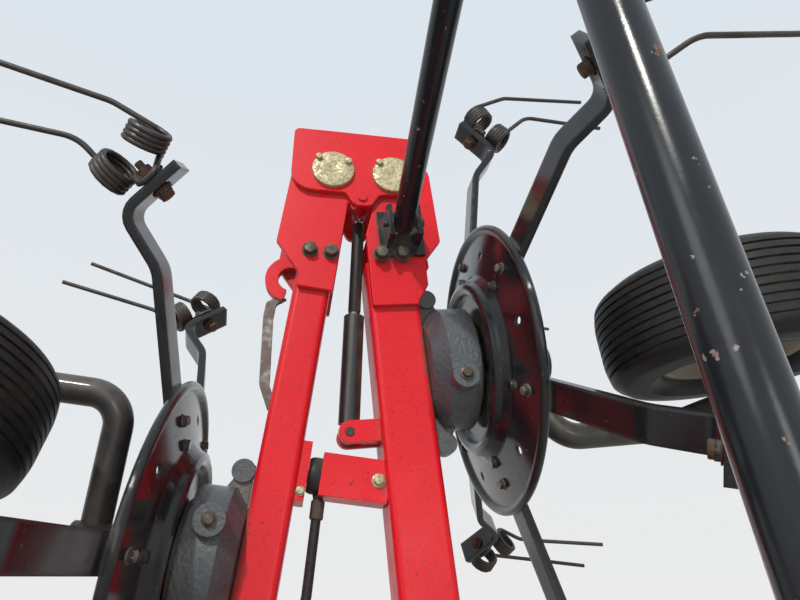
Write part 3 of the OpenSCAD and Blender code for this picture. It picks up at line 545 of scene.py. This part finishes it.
def bolt(place, across, washer=0.0, spin=0.0):
    """The parts of a hex head with chamfered corners, across its flats, over a round washer. The
    washer is 0.12 of that across thick, and the head 0.58 of it high."""
    r, thick = across / math.sqrt(3), 0.12 * across
    base = thick if washer else 0.0
    high = base + across * 0.58
    rim = [(washer * 0.96, 0), (washer, thick * 0.3), (washer, thick * 0.8), (washer * 0.95, thick)]
    sides = [(r, base * 0.9), (r, high - across * 0.06), (r * 0.93, high), (r * 0.5, high + 0.0002)]
    crown = [(r * 0.9, high - across * 0.1), (r * 0.86, high + 0.0001), (r * 0.8, high + 0.0004)]
    parts = [lathe(rim, 24)] if washer else []
    parts += [lathe(sides, 6, spin=spin), lathe(crown, 24)]
    return [placed(part, place) for part in parts]


YELLOW_ZINC = metal("yellow_zinc", (0.62, 0.56, 0.36), (0.36, 0.30, 0.16),
                    rough=0.38, amount=0.22, scale=230.0, shine=0.45)
DARK_ZINC = metal("dark_zinc", (0.12, 0.11, 0.08), (0.06, 0.045, 0.035),
                  rough=0.40, amount=0.30, scale=60.0, shine=0.7)
CAP = [(0.0035, 0.0083), (0.0044, 0.0086), (0.0064, 0.0094), (0.0395, 0.0092), (0.0428, 0.0080),
       (0.0434, 0.0060), (0.0434, 0.0)]
CAP_SEAT, CAP_T = 0.0746, 0.0086
CAP_BOLTS = ((0.030, -0.024, 0.3), (-0.031, -0.019, 0.9))  # x and z from the pin, and spin
for side in SIDES:
    caps = []
    for sign in (-1, 1):
        for x in (0.0, PIN_SPACING):
            seat = MIRROR[side] @ LINK @ facing_y(x, sign * CAP_SEAT, 0, sign)
            caps.append(placed(lathe(CAP, 48), seat))
            for dx, dz, spin in CAP_BOLTS:
                spot = MIRROR[side] @ LINK @ facing_y(x + dx, sign * (CAP_SEAT + CAP_T), dz, sign)
                caps += bolt(spot, across=0.0125, spin=spin)
    build(f"pin_caps_{side}", {YELLOW_ZINC: caps}, f"link_body_{side}")

# Bolts through the end plates: dark zinc hex heads over washers, on both faces. The front ones
# of the inner beam hold the guard's bracket too. Each head has its own turn.
BRACKET_T = 0.0102  # of the guard's bracket, on the front face of the inner end plate
PLATE_BOLTS = {  # frame, places (x, z), and what lies under the front heads
    "outer": (OUTER, ((0.189, -0.016), (0.187, 0.025)), 0.0),
    "wing": (INNER, ((1.2165, 0.0207), (1.2158, -0.0211)), BRACKET_T),
}
for side in SIDES:
    for section, (where, spots, under) in PLATE_BOLTS.items():
        heads = []
        for x, z in spots:
            for sign, y in ((-1, -BEAM_PLATE_Y[1] - under), (1, BEAM_PLATE_Y[1])):
                spot = MIRROR[side] @ where @ facing_y(x, y, z, sign)
                heads += bolt(spot, across=0.0228, washer=0.0157, spin=x * 40)
        build(f"plate_bolts_{section}_{side}", {DARK_ZINC: heads}, f"{section}_{side}")

# Catch of the transport lock: a red hook plate behind the outer beam's end plate, and below it
# a galvanised strap along the beam, whose lower end is cranked back to the tube.
GALVANISED = metal("galvanised", (0.30, 0.31, 0.31), (0.16, 0.14, 0.12),
                   rough=0.50, amount=0.35, scale=45.0, shine=0.6)
HOOK_MID, HOOK_R, HOOK_HOLE_R, HOOK_Y = (0.211, -0.049), 0.052, 0.026, (0.030, 0.0485)
STRAP = rounded([(0.255, -0.060), (0.270, -0.078), (0.300, -0.078), (0.440, -0.058),
                 (0.485, -0.034)], [0.012, 0.02, 0.02])
# The strap's section: y, and z from its middle
STRAP_EDGES = ((0.034, -0.010), (0.034, 0.010), (0.046, 0.010), (0.046, -0.010))
bend = np.radians(np.linspace(-200, -10, 22))
arc = np.column_stack([np.cos(bend), np.sin(bend)])
hook_shape = np.concatenate([HOOK_MID + HOOK_R * arc, HOOK_MID + HOOK_HOLE_R * arc[::-1]])
hook = rings(np.array([upright(hook_shape, y) for y in HOOK_Y]))
strap = rings(np.array([[(x, y, z + dz) for y, dz in STRAP_EDGES] for x, z in STRAP]))
for side in SIDES:
    where = MIRROR[side] @ OUTER
    build(f"lock_hook_{side}", {RED: [placed(hook, where)]}, f"outer_{side}")
    build(f"lock_strap_{side}", {GALVANISED: [placed(strap, where)]}, f"outer_{side}")

# Buffer between the folded beams: a turned rubber with a bulged rim, bolted to its red bracket,
# and the zinc bolts that hold the bracket and the stop.


def rubber(name, colour, dust_amount):
    """Black rubber: fine grain, brown earth in its grooves and dust on its tread."""
    made, tree, surface, place = look_of(name)
    wear = wear_in(tree, Dust=dust_amount)
    base = mix(tree, blotches(tree, place, 120.0, 0.35, 0.75), colour, [c * 1.9 for c in colour])
    dirt_and_shade = mix(tree, wear["Grime And Shade"], base, (0.13, 0.105, 0.08))
    dusty = mix(tree, wear["Dust"], dirt_and_shade, (0.24, 0.20, 0.155))
    tree.links.new(dusty, surface.inputs["Base Color"])
    surface.inputs["Roughness"].default_value = 0.5
    surface.inputs["Specular IOR Level"].default_value = 0.3
    bump_in(tree, surface, noise(tree, place, 320.0, 4.0), 0.3, 0.0006)
    return made


TYRE = rubber("tyre_rubber", (0.010, 0.010, 0.011), dust_amount=0.20)
BUFFER_X, BUFFER_Z = 0.600, 0.0513
BUFFER = [(0.027, 0.0), (0.0295, 0.002), (0.0315, 0.008), (0.0315, 0.019), (0.0295, 0.025),
          (0.027, 0.0262)]
STOP_BOLT, BRACKET_BOLT = (BUFFER_X + 0.034, -0.0399, 0.0435), (BUFFER_X, -0.0349, 0.172)
for side in SIDES:
    where = MIRROR[side] @ OUTER
    block = placed(lathe(BUFFER, 40), where @ shift(BUFFER_X, 0, BUFFER_Z))
    build(f"buffer_rubber_{side}", {TYRE: [block]}, f"wing_{side}")
    stop_bolt = bolt(where @ facing_y(*STOP_BOLT), across=0.011, washer=0.008)
    build(f"stop_bolt_{side}", {YELLOW_ZINC: stop_bolt}, f"outer_{side}")
    bracket_bolt = bolt(where @ facing_y(*BRACKET_BOLT), across=0.015, washer=0.012)
    build(f"bracket_bolt_{side}", {YELLOW_ZINC: bracket_bolt}, f"wing_{side}")

# Gear housings and central gearbox: rough grey iron castings, painted dark grey before they
# were bolted under the beams. Sand grain shows through, and dust sticks to it. An oil plug
# closes each housing's side.
CAST = paint("cast_paint", (0.070, 0.084, 0.096), (0.048, 0.058, 0.067), (0.13, 0.11, 0.10),
             rough=0.36, chips=0.8, dust=0.25, peel=1.0, grain=(135.0, 0.0018))
wear_look(CAST, "gearbox", "centre_gears", *both_sides("inner_gear", "outer_gear"))
STATIONS = {  # the rotor's place on its beam, the beam's height, and the body of its housing
    "centre": (MIDDLE @ shift(0.6425, 0, 0.723), 0.120, "frame"),
    "inner": (INNER @ shift(0.9975, 0, 0), 0.100, "wing_{}"),
    "outer": (OUTER @ shift(0.755, 0, 0), 0.070, "outer_{}"),
}
OIL_PLUG = (-0.052, -0.1300, -0.0445)  # from the rotor's axis at the beam's underside


def underside(station, side):
    """The rotor's frame where its axis meets the beam's underside."""
    where, bar, _ = STATIONS[station]
    return MIRROR[side] @ where @ shift(0, 0, -bar / 2)


for station, (_, _, body) in STATIONS.items():
    for side in SIDES:
        seat = underside(station, side) @ facing_y(*OIL_PLUG)
        plug = bolt(seat, across=0.015, washer=0.0120, spin=0.4)
        build(f"oil_plug_{station}_{side}", {DARK_ZINC: plug}, body.format(side))

# Rotor dishes with their arms: pressed sheet with a rolled rim, and flat bars bolted under it,
# sprayed dark grey. The paint is glossy, with dust in the pressed rings. Steel bolts hold the arms.
DARK = paint("dark_paint", (0.011, 0.013, 0.016), (0.009, 0.011, 0.013), (0.10, 0.06, 0.045),
             rough=0.10, chips=0.5, dust=0.05, coat=0.15, edge=0.008, shine=0.35)
STEEL_BOLT = metal("bolt_steel", (0.34, 0.33, 0.31), (0.12, 0.09, 0.07),
                   rough=0.38, amount=0.30, scale=80.0, shine=0.7)
wear_look(DARK, *[f"dish_{station}_{side}" for station in STATIONS for side in SIDES])
ARMS = 6
PHASE = {"centre": 32.5, "inner": 1.5, "outer": 32.5}  # degrees of the first arm, on the left side
DISH_R, DISH_DROP, DISH_T, CONE = 0.280, 0.128, 0.005, 12.4  # the cone's slope in degrees
# A point of the cone's underside: how far below the rim's middle, and inside the dish's radius
CONE_DROP, CONE_IN = 0.003, 0.022
ARM_T, ARM_LAP = 0.015, 0.0006  # the arm's thickness, and how far it runs into the cone
BOLT_R = 0.226  # only the outer one of each arm's two bolts stands above the dish
BOLT_GAP = 0.0002  # between the dish and the bolt's washer


def seat_z(r):
    """Height of the cone's underside at radius r, in the rotor's frame: that of its known point
    less the slope times the way outwards from there."""
    return -DISH_DROP - CONE_DROP - math.tan(math.radians(CONE)) * (r - DISH_R + CONE_IN)


def rotors():
    """Each rotor's name, its frame under the beam, and its arms' angles."""
    for station in STATIONS:
        for side in SIDES:
            phase = PHASE[station] + (180.0 / ARMS if side == "right" else 0.0)
            angles = phase + 360.0 / ARMS * np.arange(ARMS)
            yield f"{station}_{side}", underside(station, side), angles


bolt_seat = shift(BOLT_R, 0, seat_z(BOLT_R) + DISH_T + BOLT_GAP) @ turn_y(-CONE)
for rotor, under, angles in rotors():
    heads = []
    for a in angles:
        heads += bolt(under @ turn_z(a) @ bolt_seat, across=0.0140, washer=0.0105, spin=0.3)
    build(f"dish_bolts_{rotor}", {STEEL_BOLT: heads}, f"rotor_{rotor}")

# Tines: one spring wire wound into two coils under each arm's end, with a loop between them
# under the washer of the clamp bolt, and a long leg from each coil. Dark, with rusty clamps.
SPRING = metal("spring_steel", (0.045, 0.046, 0.048), (0.050, 0.035, 0.028),
               rough=0.36, amount=0.15, scale=25.0, shine=0.6)
RUSTY = metal("rusty_steel", (0.16, 0.085, 0.050), (0.085, 0.040, 0.024),
              rough=0.62, amount=0.50, scale=60.0, shine=0.35)
WIRE_R, WIRE_GAP = 0.00475, 0.0003  # the gap is between the loop and the arm
COIL_R, COIL_TURNS, COIL_LEN = 0.02825, 4.25, 0.0412
LEG_RUN, KNEE_R = 0.080, 0.06  # the leg's straight start, and its bend
CLAMP_X, LOOP_HALF, LOOP_Y, LOOP_R = 0.062, 0.014, 0.024, 0.010
ARM_RISE = 39.2  # degrees of the arm's end against the rotor's plane
ELBOW_R, HEEL_R, HEEL_DROP = 0.457, 0.531, 0.059
ELBOW_Z = seat_z(ELBOW_R) + ARM_LAP - ARM_T / 2 / math.cos(math.radians(CONE))
ARM_END = shift(HEEL_R, 0, ELBOW_Z - HEEL_DROP) @ turn_y(ARM_RISE)
COILS = [shift(0.027, 0, -0.057) @ turn_z(7.5),  # in the frame of the arm's end
         shift(0.097, 0, -0.062) @ turn_z(7.5) @ turn_y(-18.4)]
TIPS = [(0.63575, 0.00775, -0.557), (0.72425, 0.00775, -0.527)]  # in the frame of the arm


def tube(path, radius, sides=8):
    """A round tube: path(i) + radius (n cos u + b sin u). The frame n, b is carried along the
    path by the least turn from one tangent to the next."""
    p = np.asarray(path, float)
    t = np.gradient(p, axis=0)
    t /= np.linalg.norm(t, axis=1)[:, None]
    n = np.cross(t[0], (0.31, 0.52, 0.79))
    normals = []
    for tangent in t:
        n = n - tangent * (n @ tangent)
        n = n / np.linalg.norm(n)
        normals.append(n)
    n = np.array(normals)[:, None, :]
    b = np.cross(t, np.array(normals))[:, None, :]
    u = np.linspace(0, 2 * math.pi, sides, endpoint=False)[None, :, None]
    return rings(p[:, None, :] + radius * (n * np.cos(u) + b * np.sin(u)))


def tine_path():
    """The wire's middle in the frame of the arm's end, from tip to tip. In a coil's frame it is
    (end (1 - 2 v / turns), -r cos 2 pi v, r sin 2 pi v), v turns from the leg."""
    end = COIL_LEN / 2 - WIRE_R
    v = np.linspace(0, COIL_TURNS, 60)
    turn = 2 * math.pi * v
    halves = []
    for coil, tip_point, sign in zip(COILS, TIPS, (-1, 1)):
        along = sign * end * (1 - 2 * v / COIL_TURNS)
        helix = np.column_stack([along, -COIL_R * np.cos(turn), COIL_R * np.sin(turn)])
        tip = moved([tip_point], np.linalg.inv(ARM_END))[0]
        knee, top = moved([(sign * end, -COIL_R, -LEG_RUN), (sign * end, -COIL_R, -0.004)], coil)
        halves.append(np.concatenate([rounded([tip, knee, top], [KNEE_R], 8), moved(helix, coil)]))
    wire_z = -ARM_T / 2 - WIRE_GAP - WIRE_R
    turns = [(CLAMP_X - LOOP_HALF, LOOP_Y, wire_z), (CLAMP_X + LOOP_HALF, LOOP_Y, wire_z)]
    loop = rounded([halves[0][-1], *turns, halves[1][-1]], [LOOP_R, LOOP_R], 7)
    return np.concatenate([halves[0], loop[1:-1], halves[1][::-1]])


TINE = tine_path()
SHANK, SHANK_Z = [(0.0062, 0), (0.0066, 0.002), (0.0066, 0.022), (0.0058, 0.0235)], -0.0440
SPACER, SPACER_Z = [(0.0068, 0), (0.0068, 0.0102)], -0.0176
UPSIDE_DOWN = np.diag([1.0, -1.0, -1.0, 1.0])
head_seat = shift(CLAMP_X, 0, ARM_T / 2 + 0.0001)
nut_seat = shift(CLAMP_X, 0, -ARM_T / 2 - 0.0101) @ UPSIDE_DOWN
CLAMP = bolt(head_seat, across=0.0215, washer=0.0165, spin=0.2)
CLAMP += bolt(nut_seat, across=0.0215, washer=0.0240, spin=0.6)
CLAMP.append(placed(lathe(SHANK, 16), shift(CLAMP_X, 0, SHANK_Z)))
CLAMP.append(placed(lathe(SPACER, 16), shift(CLAMP_X, 0, SPACER_Z)))
for rotor, under, angles in rotors():
    ends = [under @ turn_z(a) @ ARM_END for a in angles]
    wires = [tube(moved(TINE, end), WIRE_R) for end in ends]
    clamps = [placed(part, end) for end in ends for part in CLAMP]
    build(f"spring_tines_{rotor}", {SPRING: wires, RUSTY: clamps}, f"rotor_{rotor}",
          replaces=[f"tines_{rotor}"], sharp=60.0)

# Guard hoops: round tube bent round the front of each inner rotor, glossy anthracite, with
# paint knocked off in flakes down to bare metal.
TUBE = paint("anthracite_paint", (0.016, 0.020, 0.025), (0.013, 0.016, 0.020),
             (0.35, 0.34, 0.32), rough=0.14, chips=1.0, dust=0.04, coat=0.08, shine=0.3)
wear_look(TUBE, *both_sides("guard"))

# Wheel legs: bent tube on a knuckle of the rotor's post, dark paint under dried earth that is
# thickest on the upper sides.
LEG = paint("leg_paint", (0.028, 0.029, 0.030), (0.036, 0.033, 0.030), (0.10, 0.07, 0.05),
            rough=0.42, chips=1.0, dust=0.75, dust_colour=(0.30, 0.255, 0.20))
wear_look(LEG, "centre_legs", *both_sides("inner_leg", "outer_leg"))

# Cylinders: black barrels with chromed rods. A black sleeve covers the link's rod, and it goes
# out with the rod.
BLACK = paint("black_paint", (0.008, 0.008, 0.009), (0.011, 0.011, 0.012), (0.06, 0.06, 0.06),
              rough=0.35, chips=0.6, dust=0.15)
CHROME = metal("chrome_rod", (0.62, 0.62, 0.63), (0.30, 0.28, 0.25), rough=0.10, amount=0.05)
wear_look(BLACK, *both_sides("fold_cylinder", "link_cylinder"))
wear_look(CHROME, *both_sides("fold_rod", "link_rod"))
LINK_FOOT, LINK_EYE = (0.8825, 0.105), (1.3496, 0.0466)  # (x, z) of the link cylinder's two pins
ALONG_X = np.array([[0, 0, 1, 0], [0, 1, 0, 0], [-1, 0, 0, 0], [0, 0, 0, 1.0]])  # takes Z to X
SLEEVE = [(0.0118, 0.0), (0.0125, 0.0030), (0.0125, 0.2020), (0.0118, 0.2050)]
SLEEVE_START = 0.245
tilt = math.degrees(math.atan2(LINK_EYE[1] - LINK_FOOT[1], LINK_EYE[0] - LINK_FOOT[0]))
start = INNER @ shift(LINK_FOOT[0], 0, LINK_FOOT[1]) @ turn_y(tilt) @ shift(SLEEVE_START, 0, 0)
for side in SIDES:
    sleeve = placed(lathe(SLEEVE, 28), MIRROR[side] @ start @ ALONG_X)
    build(f"rod_sleeve_{side}", {TYRE: [sleeve]}, f"link_rod_body_{side}")

# Hydraulic line of the outer section: a pressed elbow on the beam and a line clipped along it,
# between two hex nuts on the beam's upper side.
LINE_R, NUT_Z, NUTS_X = 0.0085, 0.0346, (0.603, 0.9125)
LINE = rounded([(0.603, 0, 0.030), (0.603, 0, 0.064), (0.640, 0, 0.076), (0.790, 0, 0.081),
                (0.890, 0, 0.070), (0.915, 0, 0.030)], [0.008, 0.02, 0.05, 0.04])
LINE_NUT = [(0.0115, 0), (0.0115, 0.016), (0.0100, 0.018)]
COLLAR = [(0.0100, 0), (0.0118, 0.002), (0.0118, 0.030), (0.0100, 0.032)]
COLLAR_START = shift(0.640, 0, 0.0760) @ turn_y(2)
for side in SIDES:
    where = MIRROR[side] @ OUTER
    nuts = [placed(lathe(LINE_NUT, 6), where @ shift(x, 0, NUT_Z)) for x in NUTS_X]
    collar = placed(lathe(COLLAR, 24), where @ COLLAR_START @ ALONG_X)
    line = tube(moved(LINE, where), LINE_R, 12)
    build(f"hydraulic_line_{side}", {TYRE: [line], DARK_ZINC: nuts + [collar]}, f"outer_{side}")

# Parking stands: zinc-plated tube with a round foot, dulled by weather. They keep the CAD
# solids.
ZINC = metal("zinc_steel", (0.52, 0.50, 0.46), (0.30, 0.25, 0.18), rough=0.35, amount=0.25)
wear_look(ZINC, "stand_front_left", "stand_front_right", "stand_rear")

# Ground wheels: pressed steel rims in pale paint under dried earth, and black tyres with fine
# ribs round the tread and a few raised rings on each wall.
RIM = paint("rim_paint", (0.30, 0.26, 0.20), (0.24, 0.20, 0.15), (0.16, 0.11, 0.07),
            rough=0.55, chips=0.8, dust=0.8, dust_colour=(0.36, 0.31, 0.245))
wear_look(RIM, *[f"rim_{station}_{side}" for station in STATIONS for side in SIDES])
AXLE_DROP = 0.520
WHEELS = {  # how far the wheel is aside and ahead of the rotor's axis, and its swivel (degrees)
    "centre": (0.031, 0.246, 0.0),
    "inner": (0.031, 0.246, 0.0),
    "outer": (0.079, 0.250, -16.7),
}
TREAD_R, CROWN_DROP, FLAT_HALF, SHOULDER = 0.203, 0.006, 0.030, 0.0345
GROOVES, GROOVE_DEPTH = np.linspace(-0.056, 0.056, 9), 0.0060
GROOVE_EDGES = (-0.0022, -0.0014, 0.0014, 0.0022)
WALL = np.array([  # (half-width, radius) from the tread's edge down to the rim
    (0.0645, 0.1970), (0.0700, 0.1925), (0.0745, 0.1850), (0.0762, 0.1835), (0.0778, 0.1800),
    (0.0795, 0.1785), (0.0805, 0.1700), (0.0822, 0.1600), (0.0825, 0.1520), (0.0812, 0.1440),
    (0.0820, 0.1415), (0.0818, 0.1385), (0.0800, 0.1365), (0.0765, 0.1260), (0.0700, 0.1180),
    (0.0590, 0.1123), (0.0560, 0.1119)])


def tyre_profile():
    """The tyre's section as (radius, half-width x). The tread's radius falls off beyond the flat
    middle by the crown's drop times the 1.5th power of the way to the shoulder."""
    x = (GROOVES[:, None] + np.array(GROOVE_EDGES)[None, :]).ravel()
    crown = TREAD_R - CROWN_DROP * np.clip((abs(x) - FLAT_HALF) / SHOULDER, 0, 1) ** 1.5
    tread = np.column_stack([x, crown - np.tile([0, GROOVE_DEPTH, GROOVE_DEPTH, 0], len(GROOVES))])
    return np.concatenate([WALL[::-1] * (-1, 1), tread, WALL])[:, ::-1]


section = tyre_profile()
for station, (aside, ahead, swivel) in WHEELS.items():
    for side in SIDES:
        hub = STATIONS[station][0] @ turn_z(swivel) @ shift(-aside, -ahead, -AXLE_DROP) @ ALONG_X
        tyre = placed(lathe(section, 80, closed=True), MIRROR[side] @ hub)
        build(f"ribbed_tyre_{station}_{side}", {TYRE: [tyre]}, f"wheel_{station}_{side}",
              replaces=[f"tyre_{station}_{side}"], sharp=50.0)

# The CAD box and the visual model's box, as the script's last value
[[list(map(float, corner)) for corner in box] for box in (cad_bounds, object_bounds())]
